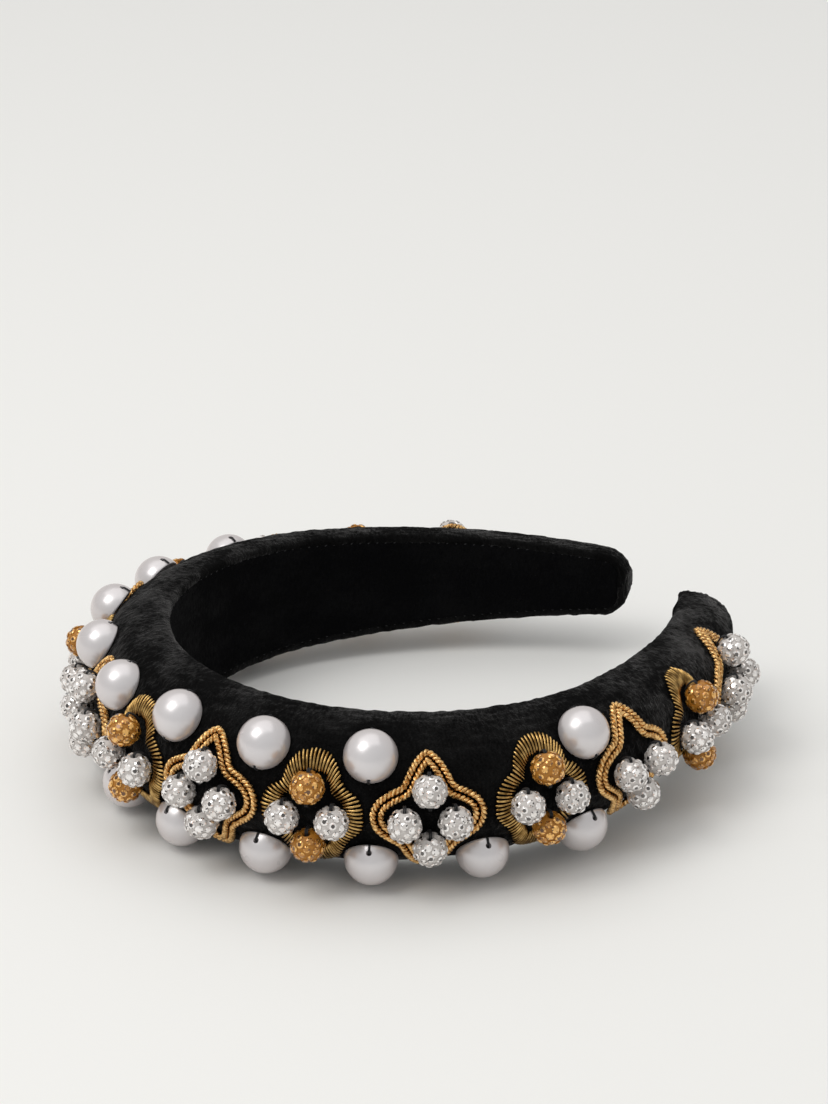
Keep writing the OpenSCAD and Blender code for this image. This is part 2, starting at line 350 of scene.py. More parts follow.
def shrunk(loop, t, inset):
    run = outline_run(loop, t)
    return outline_at(loop, t) + inset * np.stack([run[..., 1], -run[..., 0]], -1)


# ---- Meshes. A part is (points, faces, material number, lay), where lay is a place on the cloth or wire.

def grid_faces(rows, columns, rows_closed=False):
    """The quads between neighbouring rings of points."""
    i = np.arange(rows if rows_closed else rows - 1)[:, None]
    j = np.arange(columns)[None, :]
    ahead = (i + 1) % rows
    beside = (j + 1) % columns
    corners = (i * columns + j, i * columns + beside, ahead * columns + beside, ahead * columns + j)
    return np.stack([c.ravel() for c in corners], 1).tolist()


def tube(path, normals, radius, sides=8, closed=False):
    """A round tube along a path. Radius may be one number or one for each point."""
    run = np.roll(path, -1, 0) - np.roll(path, 1, 0) if closed else np.gradient(path, axis=0)
    run = unit(run)
    beside = unit(np.cross(run, normals))
    above = np.cross(beside, run)
    angles = np.arange(sides) * 2 * math.pi / sides
    radius = np.broadcast_to(np.asarray(radius, float), len(path))[:, None, None]
    ring = np.cos(angles)[None, :, None] * beside[:, None] + np.sin(angles)[None, :, None] * above[:, None]
    points = (path[:, None] + radius * ring).reshape(-1, 3)
    faces = grid_faces(len(path), sides, rows_closed=closed)
    if not closed:
        last = (len(path) - 1) * sides
        faces += [list(range(sides))[::-1], list(range(last, last + sides))]
    steps = np.linalg.norm(np.diff(path, axis=0, prepend=path[:1]), axis=1)
    lay = np.stack(np.broadcast_arrays(np.cumsum(steps)[:, None], angles[None, :], 0.0), -1)
    return points, faces, 0, lay.reshape(-1, 3)


def joined(parts):
    points, faces, slots, lays, start = [], [], [], [], 0
    for part_points, part_faces, slot, lay in parts:
        points.append(part_points)
        faces += [[start + i for i in face] for face in part_faces]
        slots += list(slot) if hasattr(slot, "__len__") else [slot] * len(part_faces)
        lays.append(np.zeros_like(part_points) if lay is None else lay)
        start += len(part_points)
    return np.concatenate(points), faces, slots, np.concatenate(lays)


def mesh_object(name, parts, materials, sharp_angle=None):
    points, faces, slots, lay = joined(parts)
    mesh = bpy.data.meshes.new(name)
    mesh.from_pydata((points * MM).tolist(), [], faces)
    mesh.polygons.foreach_set("use_smooth", [True] * len(faces))
    mesh.polygons.foreach_set("material_index", slots)
    places = mesh.attributes.new("lay", "FLOAT_VECTOR", "POINT")
    places.data.foreach_set("vector", lay.astype(np.float32).ravel())
    if sharp_angle is not None:
        mesh.set_sharp_from_angle(angle=math.radians(sharp_angle))
    for material in materials:
        mesh.materials.append(material)
    piece = bpy.data.objects.new(name, mesh)
    bpy.context.scene.collection.objects.link(piece)
    return piece


def settle(piece, slot, *nodes):
    """Every piece rides on the one body and hides the CAD nodes that it stands for; the slot is not used.
    """
    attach(piece, "root")
    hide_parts(*nodes)


# ---- Shader maths.

class Value:
    """A node's socket, with the arithmetic of numbers."""

    def __init__(self, finish, socket):
        self.finish = finish
        self.socket = socket

    def _math(self, operation, first, second):
        return self.finish.node("ShaderNodeMath", {"operation": operation}, {0: first, 1: second})

    def __add__(self, other):
        return self._math("ADD", self, other)

    def __mul__(self, other):
        return self._math("MULTIPLY", self, other)

    __radd__ = __add__
    __rmul__ = __mul__


class Finish:
    """One material and its nodes."""

    def __init__(self, name):
        self.material = bpy.data.materials.new(name)
        self.material.use_nodes = True
        self.tree = self.material.node_tree
        self.tree.nodes.clear()

    def node(self, kind, settings=(), inputs=(), output=0):
        made = self.tree.nodes.new(kind)
        for key, value in dict(settings).items():
            if key == "stops":
                self._set_stops(made.color_ramp, value)
            else:
                setattr(made, key, value)
        for key, value in dict(inputs).items():
            if isinstance(value, Value):
                self.tree.links.new(value.socket, made.inputs[key])
            else:
                made.inputs[key].default_value = value
        return Value(self, made.outputs[output])

    @staticmethod
    def _set_stops(ramp, stops):
        while len(ramp.elements) < len(stops):
            ramp.elements.new(0.5)
        for element, (place, shade) in zip(ramp.elements, stops):
            element.position = place
            element.color = (shade, shade, shade, 1)

    def lay(self, stretch=(1, 1, 1)):
        """The place on the cloth or along the wire, in millimetres."""
        at = self.node("ShaderNodeAttribute", {"attribute_name": "lay"}, output="Vector")
        return self.node("ShaderNodeVectorMath", {"operation": "MULTIPLY"}, {0: at, 1: stretch})

    def place(self):
        """The place in the headband, in millimetres."""
        at = self.node("ShaderNodeTexCoord", output="Object")
        return self.node("ShaderNodeVectorMath", {"operation": "MULTIPLY"}, {0: at, 1: (1 / MM,) * 3})

    def noise(self, at, scale, detail=3.0, roughness=0.5):
        inputs = {"Vector": at, "Scale": scale, "Detail": detail, "Roughness": roughness}
        return self.node("ShaderNodeTexNoise", {}, inputs)

    def ramp(self, value, *stops):
        return self.node("ShaderNodeValToRGB", {"stops": stops}, {0: value})

    def blend(self, factor, first, second):
        settings = {"data_type": "RGBA", "blend_type": "MIX"}
        return self.node("ShaderNodeMix", settings, {0: factor, 6: first, 7: second}, output=2)

    def bump(self, height, distance, strength):
        inputs = {"Height": height, "Distance": distance * MM, "Strength": strength}
        return self.node("ShaderNodeBump", {}, inputs)

    def principled(self, **inputs):
        named = {key.replace("_", " "): value for key, value in inputs.items()}
        return self.node("ShaderNodeBsdfPrincipled", {}, named)

    def mixed(self, factor, first, second):
        return self.node("ShaderNodeMixShader", {}, {0: factor, 1: first, 2: second})

    def done(self, surface):
        end = self.tree.nodes.new("ShaderNodeOutputMaterial")
        self.tree.links.new(surface.socket, end.inputs["Surface"])
        return self.material


def rgb(red, green, blue):
    return (red, green, blue, 1)


# ---- Materials.

def velvet(name, deep, raised, sheen, laid_sheen):
    """Black pile: patches where it lies flat catch more light than patches where it stands."""
    finish = Finish(name)
    clouds = finish.noise(finish.lay((0.055, 0.075, 1)), 1.0, detail=4, roughness=0.6)
    tufts = finish.noise(finish.lay((1.1, 0.45, 1)), 1.0, detail=4, roughness=0.75)
    grain = finish.noise(finish.lay(), 2.2, detail=2, roughness=0.7)
    brushed = finish.ramp(clouds * 0.55 + tufts * 0.45, (0.46, 0.0), (0.60, 1.0))
    colour = finish.blend(finish.ramp(grain, (0.35, 0.0), (0.75, 1.0)), deep, raised)
    normal = finish.bump(grain * 0.5 + tufts, 0.5, 0.9)
    standing = finish.principled(
        Base_Color=colour, Roughness=0.95, Specular_IOR_Level=0.05, Normal=normal,
        Sheen_Weight=sheen, Sheen_Roughness=0.35, Sheen_Tint=rgb(0.96, 0.97, 1.0),
    )
    laid = finish.principled(
        Base_Color=colour, Roughness=0.85, Specular_IOR_Level=0.08, Normal=normal,
        Sheen_Weight=laid_sheen, Sheen_Roughness=0.4, Sheen_Tint=rgb(1.0, 0.98, 0.98),
    )
    return finish.done(finish.mixed(brushed, standing, laid))


def pearl_lustre():
    """Grey-lilac nacre under a clear coat; it turns warmer where one looks along it."""
    finish = Finish("pearl_lustre")
    clouds = finish.noise(finish.place(), 0.09, detail=2)
    facing = finish.node("ShaderNodeLayerWeight", {}, {"Blend": 0.35}, output="Facing")
    nacre = finish.blend(clouds, rgb(0.66, 0.64, 0.66), rgb(0.76, 0.74, 0.75))
    ripples = finish.noise(finish.place(), 0.35, detail=1)
    normal = finish.bump(ripples, 0.05, 0.5)
    glaze = {
        "Metallic": 0.45, "Specular_IOR_Level": 0.6, "Coat_Weight": 0.7,
        "Coat_Roughness": 0.18, "Coat_IOR": 1.55, "Normal": normal,
    }
    face = finish.principled(Base_Color=nacre, Roughness=clouds * 0.10 + 0.26, **glaze)
    rim = finish.principled(Base_Color=rgb(0.62, 0.54, 0.52), Roughness=clouds * 0.10 + 0.24, **glaze)
    return finish.done(finish.mixed(facing, face, rim))


def cord_gold():
    """Gold thread: bright where it was rubbed, brown where it tarnished."""
    finish = Finish("cord_gold")
    wear = finish.noise(finish.place(), 0.9, detail=3, roughness=0.6)
    glints = finish.noise(finish.lay((1.6, 0.8, 1)), 1.0, detail=2, roughness=0.7)
    tarnished = rgb(0.38, 0.175, 0.04)
    rubbed = rgb(1.0, 0.66, 0.29)
    surface = finish.principled(
        Base_Color=finish.blend(finish.ramp(wear, (0.36, 0.0), (0.60, 1.0)), tarnished, rubbed),
        Metallic=1.0, Roughness=wear * 0.12 + 0.14, Normal=finish.bump(glints, 0.35, 0.9),
    )
    return finish.done(surface)


def coiled_gold():
    """Purl: fine wire wound edge to edge, so that each tube has rings round it."""
    finish = Finish("purl_coil")
    wear = finish.noise(finish.place(), 0.5, detail=3)
    run = finish.lay()
    rings = finish.node("ShaderNodeTexWave", {"bands_direction": "X"}, {"Vector": run, "Scale": 1.75})
    tarnished = rgb(0.20, 0.11, 0.03)
    rubbed = rgb(0.68, 0.45, 0.17)
    surface = finish.principled(
        Base_Color=finish.blend(finish.ramp(wear, (0.36, 0.0), (0.66, 1.0)), tarnished, rubbed),
        Metallic=1.0, Roughness=wear * 0.08 + 0.12, Normal=finish.bump(rings, 0.02, 0.3),
    )
    return finish.done(surface)


def clay(name, colour, shade):
    finish = Finish(name)
    lumps = finish.noise(finish.place(), 1.4, detail=3)
    surface = finish.principled(
        Base_Color=finish.blend(lumps, shade, colour), Roughness=lumps * 0.2 + 0.45,
        Normal=finish.bump(lumps, 0.10, 0.8),
    )
    return finish.done(surface)


def cut_glass(name, colour, roughness, foil):
    """One tone of the stones' facets: cut glass with foil behind it, whose base colour is a painted
    reflection, from a painted glint to a painted dark reflection.
    """
    finish = Finish(name)
    haze = finish.noise(finish.place(), 0.9, detail=1)
    surface = finish.principled(
        Base_Color=colour, Metallic=foil, Roughness=haze * 0.06 + roughness,
        Coat_Weight=1.0, Coat_Roughness=0.03, Coat_IOR=1.6,
    )
    return finish.done(surface)


def sewing_thread():
    finish = Finish("black_thread")
    run = finish.lay((1.0, 0.5, 1))
    twist = finish.node("ShaderNodeTexWave", {"bands_direction": "DIAGONAL"}, {"Vector": run, "Scale": 1.4})
    colour = finish.blend(twist, rgb(0.004, 0.004, 0.005), rgb(0.018, 0.018, 0.021))
    surface = finish.principled(Base_Color=colour, Roughness=0.6, Normal=finish.bump(twist, 0.06, 0.8))
    return finish.done(surface)


def spring_plastic():
    finish = Finish("hoop_plastic")
    grain = finish.noise(finish.place(), 0.4, detail=4)
    colour = finish.blend(grain, rgb(0.05, 0.05, 0.055), rgb(0.075, 0.075, 0.08))
    surface = finish.principled(
        Base_Color=colour, Roughness=grain * 0.2 + 0.3, Normal=finish.bump(grain, 0.03, 0.4),
    )
    return finish.done(surface)


def foam():
    finish = Finish("foam_cells")
    cells = finish.node("ShaderNodeTexVoronoi", {}, {"Vector": finish.place(), "Scale": 1.3})
    colour = finish.blend(cells, rgb(0.62, 0.61, 0.56), rgb(0.78, 0.77, 0.72))
    surface = finish.principled(Base_Color=colour, Roughness=0.9, Normal=finish.bump(cells, 0.25, 0.7))
    return finish.done(surface)


VELVET = velvet(
    "cover_velvet", deep=rgb(0.0012, 0.0012, 0.0013), raised=rgb(0.0058, 0.0056, 0.0056),
    sheen=0.008, laid_sheen=0.26,
)
# The lining: the cover's black pile again with its raised pile half as light, which is painted shade for
# the band's shaded inside face, and with its sheen cut low.
LINING_VELVET = velvet(
    "lining_velvet", deep=rgb(0.0012, 0.0012, 0.0015), raised=rgb(0.0030, 0.0030, 0.0036),
    sheen=0.005, laid_sheen=0.02,
)
PEARL = pearl_lustre()
CORD_GOLD = cord_gold()
PURL_GOLD = coiled_gold()
THREAD = sewing_thread()
# The clear beads: clay, then four facet tones that are painted reflections, not tints of the glass: a
# painted glint, a painted grey reflection, a painted dark reflection and a painted warm reflection.
CRYSTAL = [
    clay("white_clay", rgb(0.76, 0.72, 0.69), rgb(0.40, 0.375, 0.36)),
    cut_glass("crystal_painted_glint", rgb(1.0, 0.97, 0.95), 0.04, 0.4),
    cut_glass("crystal_painted_grey_reflection", rgb(0.84, 0.80, 0.77), 0.05, 0.7),
    cut_glass("crystal_painted_dark_reflection", rgb(0.10, 0.09, 0.085), 0.04, 0.8),
    cut_glass("crystal_painted_warm_reflection", rgb(0.80, 0.62, 0.54), 0.05, 0.6),
]
# The amber beads: the topaz's own amber, made lighter or darker in each facet tone as a painted glint or a
# painted reflection.
TOPAZ = [
    clay("mustard_clay", rgb(0.50, 0.205, 0.014), rgb(0.28, 0.105, 0.008)),
    cut_glass("topaz_painted_glint", rgb(0.95, 0.52, 0.13), 0.04, 0.6),
    cut_glass("topaz_painted_light_reflection", rgb(0.50, 0.21, 0.022), 0.05, 0.7),
    cut_glass("topaz_painted_dark_reflection", rgb(0.13, 0.048, 0.008), 0.04, 0.7),
    cut_glass("topaz_painted_deep_reflection", rgb(0.38, 0.14, 0.012), 0.05, 0.7),
]


# ---- The padded velvet cover.

def stations(step, tip_steps):
    """Lengths along the band, even between the tips and crowded where the tips round off."""
    body = np.linspace(0, HALF_LEN - TIP_ZONE, round((HALF_LEN - TIP_ZONE) / step))
    bend = np.sin(np.linspace(0, math.pi / 2, tip_steps + 1)[1:])
    half = np.concatenate([body, HALF_LEN - TIP_ZONE * (1 - bend)])
    return np.concatenate([-half[:0:-1], half])


def evenly(loop, count):
    """A closed loop of (outward, up) points again, with points evenly spaced along it."""
    closed = np.concatenate([loop, loop[:1]])
    length = np.concatenate([[0], np.cumsum(np.linalg.norm(np.diff(closed, axis=0), axis=1))])
    at = np.linspace(0, length[-1], count, endpoint=False)
    return np.stack([np.interp(at, length, closed[:, i]) for i in range(2)], 1), length[-1]


def softened(loop, perimeter, softness):
    """Rounds a closed loop's corners."""
    waves = np.fft.fft(loop[:, 0] + 1j * loop[:, 1])
    pitch = np.fft.fftfreq(len(loop), perimeter / len(loop))
    smooth = np.fft.ifft(waves * np.exp(-2 * (math.pi * softness * pitch) ** 2))
    return np.stack([smooth.real, smooth.imag], 1)


def drawn_in(loop, depth):
    """A closed loop moved towards its inside."""
    run = unit(np.roll(loop, -1, 0) - np.roll(loop, 1, 0))
    return loop + depth * np.stack([-run[:, 1], run[:, 0]], 1)


def section_loop(s, count, inset=0.0, face=0.0, recess=0.0):
    """Points round the band at one station, from the middle of the face on the head."""
    tall, wide, middle = (float(x) for x in dome_at(s, inset))
    edge = math.acos((face - middle) / tall)
    half = wide * math.sin(edge)
    rise = np.linspace(0, half, 60)[:-1]
    from_edge = np.minimum(half - rise, HALF_LEN - abs(s))
    sunk = face + recess * np.clip((from_edge - TUCK) / RECESS_RAMP, 0, 1)
    beta = np.linspace(edge, -edge, 160)
    dome = np.stack([middle + tall * np.cos(beta), wide * np.sin(beta)], 1)
    upper = np.stack([sunk, rise], 1)
    lower = np.stack([sunk[::-1], -rise[::-1]], 1)
    loop, perimeter = evenly(np.concatenate([upper, dome, lower[:-1]]), 256)
    loop = softened(loop, perimeter, EDGE_SOFTNESS)
    loop, perimeter = evenly(loop, count)
    return drawn_in(loop, float(corner_cut(HALF_LEN - inset - abs(s), TIP_ROUND)))


def band_skin(s, loops):
    """Points in space, one row for each station."""
    on_plane = inner_point(s)[:, None] + outward(s)[:, None] * loops[..., :1]
    return on_plane + UP * loops[..., 1:]


def cloth_lay(s, loops):
    """Where each point lies on the cut cloth: along the band and round it."""
    steps = np.linalg.norm(np.diff(loops, axis=1, prepend=loops[:, :1]), axis=2)
    round_it = np.cumsum(steps, axis=1)
    round_it -= round_it[:, -1:] / 2
    return np.stack([np.broadcast_to(s[:, None], round_it.shape), round_it, 0 * round_it], -1)


def skin_normals(points):
    """The way out of the surface at each point of a skin."""
    run = np.gradient(points, axis=0)
    round_it = np.roll(points, -1, 1) - np.roll(points, 1, 1)
    return unit(np.cross(round_it, run))


def outline_reach(loop, bearing):
    """How far a motif's outline is from its centre, towards each bearing."""
    corner_bearing = np.arctan2(loop[:, 1], loop[:, 0])
    order = np.argsort(corner_bearing)
    return np.interp(bearing, corner_bearing[order], np.hypot(*loop[order].T), period=2 * math.pi)


def held_within(edge, away):
    """1 well inside an edge, falling to 0 at it."""
    return np.clip((edge - away) / HOLD_FADE, 0, 1)


def stitched(s, loops):
    """From 0 to 1, how firmly each point of the cover is held, by the seam or by trim sewn on."""
    tall, wide, middle = (x[:, None] for x in dome_at(s))
    beta = np.arctan2(loops[..., 1] / wide, (loops[..., 0] - middle) / tall)
    u = np.broadcast_to(s_to_reach(s)[:, None], beta.shape)
    v = beta * arc_scale(tall, wide)
    held = (loops[..., 0] < SEAM_HOLD).astype(float)
    for _, side, k in motifs():
        loop = mirrored(CORD_OUTLINE if k % 2 else PURL_OUTLINE, side)
        centre_u, centre_v = motif_centre(side, k)
        reach = outline_reach(loop, np.arctan2(v - centre_v, u - centre_u))
        away = np.hypot(u - centre_u, v - centre_v)
        held = np.maximum(held, held_within(reach + HOLD_FADE, away))
    for side in SIDES:
        for k in PEARL_GAPS:
            for pearl_u, pearl_v in pearl_places(side, k):
                away = np.hypot(u - pearl_u, v - pearl_v)
                held = np.maximum(held, held_within(PEARL_D / 2 + PEARL_HOLD, away))
    return held


PUFF_CLOTH = {
    "quality": 6,
    "mass": 0.2,
    "tension_stiffness": 6,
    "compression_stiffness": 6,
    "shear_stiffness": 3,
    "bending_stiffness": 0.3,
    "vertex_group_mass": "stitches",
    "use_pressure": True,
    "uniform_pressure_force": 4,
}
PUFF_FRAMES = 20


def stuffing_puff():
    """How far the stuffing pushes the cover out between its stitches.

    A cloth simulation on a coarse skin finds it.
    """
    s = stations(step=4.5, tip_steps=5)
    loops = np.stack([section_loop(x, count=44) for x in s])
    points = band_skin(s, loops)
    trial = mesh_object("puff_trial", [closed_skin(points, cloth_lay(s, loops))], [])
    pins = trial.vertex_groups.new(name="stitches")
    for i, hold in enumerate(stitched(s, loops).ravel().tolist()):
        pins.add([i], hold, "REPLACE")
    cloth = trial.modifiers.new("puff", "CLOTH")
    for setting, value in PUFF_CLOTH.items():
        setattr(cloth.settings, setting, value)
    cloth.settings.effector_weights.gravity = 0
    scene = bpy.context.scene
    for number in range(1, PUFF_FRAMES + 1):
        scene.frame_set(number)
    shown = trial.evaluated_get(bpy.context.evaluated_depsgraph_get())
    moved = np.zeros(points.size)
    shown.data.vertices.foreach_get("co", moved)
    scene.frame_set(1)
    bpy.data.objects.remove(trial)
    shift = moved.reshape(points.shape) / MM - points
    puff = (shift * skin_normals(points)).sum(-1)
    return s, PUFF_CAP * np.tanh(puff / PUFF_CAP)


def spread_puff(s, count):
    """The simulated puff, brought to a finer skin."""
    coarse_s, puff = stuffing_puff()
    turns = np.linspace(0, 1, count, endpoint=False)
    coarse_turns = np.linspace(0, 1, puff.shape[1], endpoint=False)
    rows = np.stack([np.interp(turns, coarse_turns, row, period=1) for row in puff])
    return np.stack([np.interp(s, coarse_s, column) for column in rows.T], 1)


def pile_noise(rows, columns, seed):
    """Uneven pile: a smooth random relief, the same each time."""
    rough = np.random.default_rng(seed).standard_normal((rows, columns))
    for axis in (0, 1):
        rough = (np.roll(rough, 1, axis) + 2 * rough + np.roll(rough, -1, axis)) / 4
    return rough


def closed_skin(points, lay):
    """A skin with both ends filled."""
    rows, columns = points.shape[:2]
    last = (rows - 1) * columns
    faces = grid_faces(rows, columns)
    faces += [list(range(columns))[::-1], list(range(last, last + columns))]
    return points.reshape(-1, 3), faces, 0, lay.reshape(-1, 3)


def make_cover():
    s = stations(step=0.92, tip_steps=22)
    count = 200
    loops = np.stack([section_loop(x, count, recess=LINING_RECESS) for x in s])
    points = band_skin(s, loops)
    normals = skin_normals(points)
    points = points + normals * spread_puff(s, count)[..., None]
    outside = np.clip(loops[..., :1] + 0.5, 0, 1)
    points = points + normals * outside * PILE_RELIEF * pile_noise(len(s), count, seed=3)[..., None]
    piece = mesh_object("velvet_cover", [closed_skin(points, cloth_lay(s, loops))], [VELVET])
    settle(piece, "velvet", "outer_cover")


def make_foam():
    inset = CLOTH + GAP
    s = stations(step=3.0, tip_steps=10) * (HALF_LEN - FOAM_INSET - inset) / HALF_LEN
    face = LINING_T + HOOP_T + 2 * GAP
    loops = np.stack([section_loop(x, count=72, inset=inset + FOAM_SLACK, face=face) for x in s])
    piece = mesh_object("foam_filling", [closed_skin(band_skin(s, loops), cloth_lay(s, loops))], [foam()])
    settle(piece, "foam", "foam_pad")


# ---- The lining and its seam.

def lining_half(s):
    """Half the lining's width, with its rounded ends."""
    from_end = HALF_LEN - TUCK - np.abs(s) + LINING_LAP
    return half_width(s) - TUCK + LINING_LAP - corner_cut(from_end, LINING_TIP_R)


def make_lining():
    reach = HALF_LEN - TUCK
    s = stations(step=1.6, tip_steps=16) * reach / HALF_LEN
    columns = 40
    x = np.sin(np.linspace(-1, 1, columns) * math.pi / 2)
    half = lining_half(s)[:, None]
    up = half * x[None, :]
    to_edge = np.minimum(half - np.abs(up), (reach - np.abs(s))[:, None])
    past_fold = 1 - np.clip(to_edge / FOLD_WIDTH, 0, 1)
    face = np.where(to_edge < FOLD_WIDTH, FOLD_DEPTH * (1 - np.sqrt(1 - past_fold**2)), 0.0)
    face = face + PILE_RELIEF * 0.5 * np.abs(pile_noise(len(s), columns, seed=5))
    top = np.stack([face, up], -1)
    back = np.stack([np.full_like(up, LINING_T), up], -1)[:, ::-1]
    loops = np.concatenate([back[:, 1:-1], top], 1)
    flat_area = 2 * np.trapz(lining_half(s), s)
    parts = [closed_skin(band_skin(s, loops), cloth_lay(s, loops))]
    piece = mesh_object("velvet_lining", parts, [LINING_VELVET])
    settle(piece, "lining_velvet", "inner_lining")
    width = 2 * lining_half(np.zeros(1))[0]
    width * MM


def make_seam():
    """Slanting ladder stitches that pull the lining's edge to the cover."""
    parts = []
    t = np.linspace(0, 1, 9)
    for way in (-1, 1):
        for s in np.arange(-HALF_LEN + SEAM_END, HALF_LEN - SEAM_END, STITCH_STEP):
            at = s + STITCH_RUN * t
            rise = way * (half_width(at) - TUCK + STITCH_SLANT * (t - 0.5) * 2)
            depth = STITCH_DEPTH - STITCH_RISE * np.sin(t * math.pi)
            path = inner_point(at) + outward(at) * depth[:, None] + UP * rise[:, None]
            parts.append(tube(path, -outward(at), SEAM_STRAND_D / 2, sides=6))
    settle(mesh_object("seam_stitches", parts, [THREAD]), "thread", "seam_thread")


# ---- Half pearls.

def lathe(profile, segments):
    """A closed solid of revolution about Z from (radius, height) points; both ends lie on the axis."""
    profile = np.array(profile, float)
    angles = np.arange(segments) * 2 * math.pi / segments
    inner = profile[1:-1]

    def ring(radius, height):
        return np.stack([radius * np.cos(angles), radius * np.sin(angles), np.full(segments, height)], 1)

    points = np.concatenate([ring(radius, height) for radius, height in inner])
    ends = np.array([[0, 0, profile[0, 1]], [0, 0, profile[-1, 1]]])
    first = len(points)
    last = first + 1
    top = (len(inner) - 1) * segments
    faces = grid_faces(len(inner), segments)
    faces += [[first, (j + 1) % segments, j] for j in range(segments)]
    faces += [[last, top + j, top + (j + 1) % segments] for j in range(segments)]
    return np.concatenate([points, ends]), faces


def solid_object(name, points, faces):
    return mesh_object(name, [(points, faces, 0, None)], [])


def carved(points, faces, cutters):
    """A solid with other solids cut out of it."""
    body = solid_object("carved_body", points, faces)
    for i, cutter in enumerate(cutters):
        tool = solid_object(f"cutter_{i}", *cutter)
        cut = body.modifiers.new("cut", "BOOLEAN")
        cut.operation = "DIFFERENCE"
        cut.solver = "EXACT"
        cut.object = tool
    mesh = bpy.data.meshes.new_from_object(body.evaluated_get(bpy.context.evaluated_depsgraph_get()))
    result = np.array([v.co for v in mesh.vertices]) / MM, [list(p.vertices) for p in mesh.polygons]
    for modifier in list(body.modifiers):
        bpy.data.objects.remove(modifier.object)
    bpy.data.objects.remove(body)
    bpy.data.meshes.remove(mesh)
    return result


def bore(radius, height, exit_at, flare):
    """A cutter along the across-band way, wider where it leaves the solid."""
    reach = exit_at + 2
    wide = radius + flare
    mouth = [(radius, exit_at - 2 * flare), (wide, exit_at), (wide + 1, reach), (0, reach)]
    other_mouth = [(from_axis, -along_axis) for from_axis, along_axis in mouth[::-1]]
    points, faces = lathe(other_mouth + mouth, segments=20)
    turned = np.stack([points[:, 0], points[:, 2], height - points[:, 1]], 1)
    return turned, faces


def half_pearl():
    """A pearl with a flat back, a rounded lower edge and a bore just above the back."""
    radius = PEARL_D / 2
    centre = PEARL_RISE
    lip = PEARL_LIP
    back = math.sqrt(radius**2 - centre**2)
    corner = [(back - lip * (1 - math.sin(a)), lip * (1 - math.cos(a))) for a in np.linspace(0, 1.2, 5)]
    low = math.asin((lip * 1.1 - centre) / radius)
    angles = np.linspace(low, math.pi / 2, 34)
    bend = [(radius * math.cos(a), centre + radius * math.sin(a)) for a in angles]
    bend[-1] = (0, centre + radius)
    points, faces = lathe([(0, 0), (back * 0.6, 0), *corner, *bend], segments=64)
    exit_at = math.sqrt(radius**2 - (PEARL_HOLE_H - centre) ** 2)
    return carved(points, faces, [bore(PEARL_HOLE_D / 2, PEARL_HOLE_H, exit_at, PEARL_FLARE)])


def make_pearls():
    points, faces = half_pearl()
    for side in SIDES:
        for k in PEARL_GAPS:
            parts = [(placed(points, u, v, GAP), faces, 0, None) for u, v in pearl_places(side, k)]
            name = f"{side}_{k}"
            piece = mesh_object(f"half_pearls_{name}", parts, [PEARL], sharp_angle=40)
            settle(piece, "pearl", f"pearls_{name}")


# ---- Paved ball beads.

def stone():
    """A cut stone: a table, a crown of facets and a skirt that sinks into the clay.

    Its faces start with the table and the crown, and the last value is how many those are.
    """
    corners = STONE_CORNERS
    rim = 2 * corners
    table_r = STONE_TABLE * STONE_R
    angles = np.arange(corners) * 2 * math.pi / corners
    table = np.stack([table_r * np.cos(angles), table_r * np.sin(angles), np.full(corners, STONE_CROWN)], 1)
    around = np.sort(np.concatenate([angles, angles + math.pi / corners]))
    girdle = np.stack([STONE_R * np.cos(around), STONE_R * np.sin(around), 0 * around], 1)
    skirt = girdle * (STONE_SKIRT, STONE_SKIRT, 1) - (0, 0, STONE_DEPTH)
    points = np.concatenate([table, girdle, skirt])
    low = corners + rim
    facets = [list(range(corners))]
    for i in range(corners):
        ahead = (i + 1) % corners
        here = corners + 2 * i
        middle = here + 1
        beyond = corners + (2 * i + 2) % rim
        facets += [[i, middle, ahead], [i, here, middle], [ahead, middle, beyond]]
    walls = []
    for j in range(rim):
        beside = (j + 1) % rim
        walls.append([low + j, low + beside, corners + beside, corners + j])
    foot = list(range(low, low + rim))[::-1]
    return points, facets + walls + [foot], len(facets)


# A bead's materials by number: the clay, then facet tones that are painted reflections: a bright painted
# glint, a mid painted reflection, a dark painted reflection or a warm painted reflection.
CLAY, BRIGHT, MID, DARK, WARM = range(5)

# The kinds of stone: how many there are, the table's painted tone, and how often a crown facet takes each
# painted tone.
STONE_SHARES = (0.30, 0.42, 0.28)
TABLE_GLASS = (BRIGHT, DARK, MID)
CROWN_GLASS = ((0.60, 0.24, 0.10, 0.06), (0.62, 0.26, 0.08, 0.04), (0.26, 0.44, 0.24, 0.06))


def spots_on_ball(count):
    """Even places over a ball, as unit vectors, winding about the Y axis that the bore follows."""
    i = np.arange(count) + 0.5
    height = 1 - 2 * i / count
    angle = i * math.pi * (3 - math.sqrt(5))
    level = np.sqrt(1 - height**2)
    return np.stack([level * np.cos(angle), height, level * np.sin(angle)], 1)


def clay_ball(radius):
    bend = np.linspace(-math.pi / 2, math.pi / 2, 22)
    profile = [(max(0, radius * math.cos(a)), radius * math.sin(a)) for a in bend]
    points, faces = lathe(profile, segments=32)
    return carved(points, faces, [bore(BEAD_HOLE_D / 2, 0, radius, BEAD_FLARE)])


